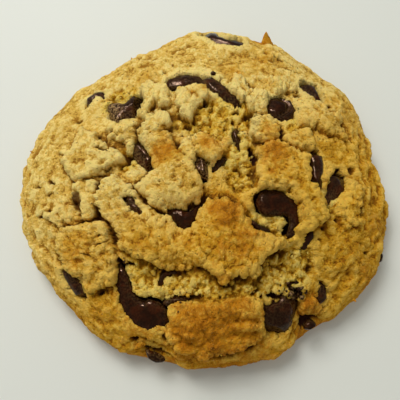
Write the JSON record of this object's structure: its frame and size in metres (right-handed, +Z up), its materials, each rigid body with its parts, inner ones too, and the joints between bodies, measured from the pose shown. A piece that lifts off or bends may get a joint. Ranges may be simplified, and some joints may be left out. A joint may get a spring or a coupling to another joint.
{
  "type": "chocolate chip cookie",
  "caption": "Large round baked cookie with a craggy domed top, pale golden crust browned on its high spots, and glossy dark chocolate pieces set in it.",
  "frame": {"origin": "middle of the flat underside, at the centre of the cookie's box", "axes": "+Z up out of the domed top, +Y towards the back edge with the half-covered chocolate piece, +X to the right"},
  "size_m": [0.106, 0.1042, 0.0251],
  "materials": {
    "baked_dough": "dry matte crust, pale golden with browner high spots, open crumb in the cracks",
    "chocolate": "dark chocolate with a soft gloss, dusted with crumb"
  },
  "bodies": {
    "root": {"chip_back_edge": "chocolate", "chip_comet_head": "chocolate", "chip_comet_tail": "chocolate", "chip_crescent": "chocolate", "chip_crevice": "chocolate", "chip_dark_right": "chocolate", "chip_front_dot": "chocolate", "chip_front_large": "chocolate", "chip_front_left_edge": "chocolate", "chip_front_sliver": "chocolate", "chip_heart": "chocolate", "chip_hollow_slit": "chocolate", "chip_left_broken": "chocolate", "chip_left_sliver": "chocolate", "chip_lower_left": "chocolate", "chip_melted": "chocolate", "chip_melted_tail": "chocolate", "chip_middle_shard": "chocolate", "chip_middle_sliver": "chocolate", "chip_right_edge": "chocolate", "chip_scratched": "chocolate", "chip_tall_right": "chocolate", "chip_torn_arc": "chocolate", "chip_torn_slit": "chocolate", "chip_upper_left": "chocolate", "chip_upper_right": "chocolate", "chip_upper_shard": "chocolate", "chip_upright_sliver": "chocolate", "chip_whole": "chocolate", "dough": "baked_dough"}
  },
  "joints": []
}
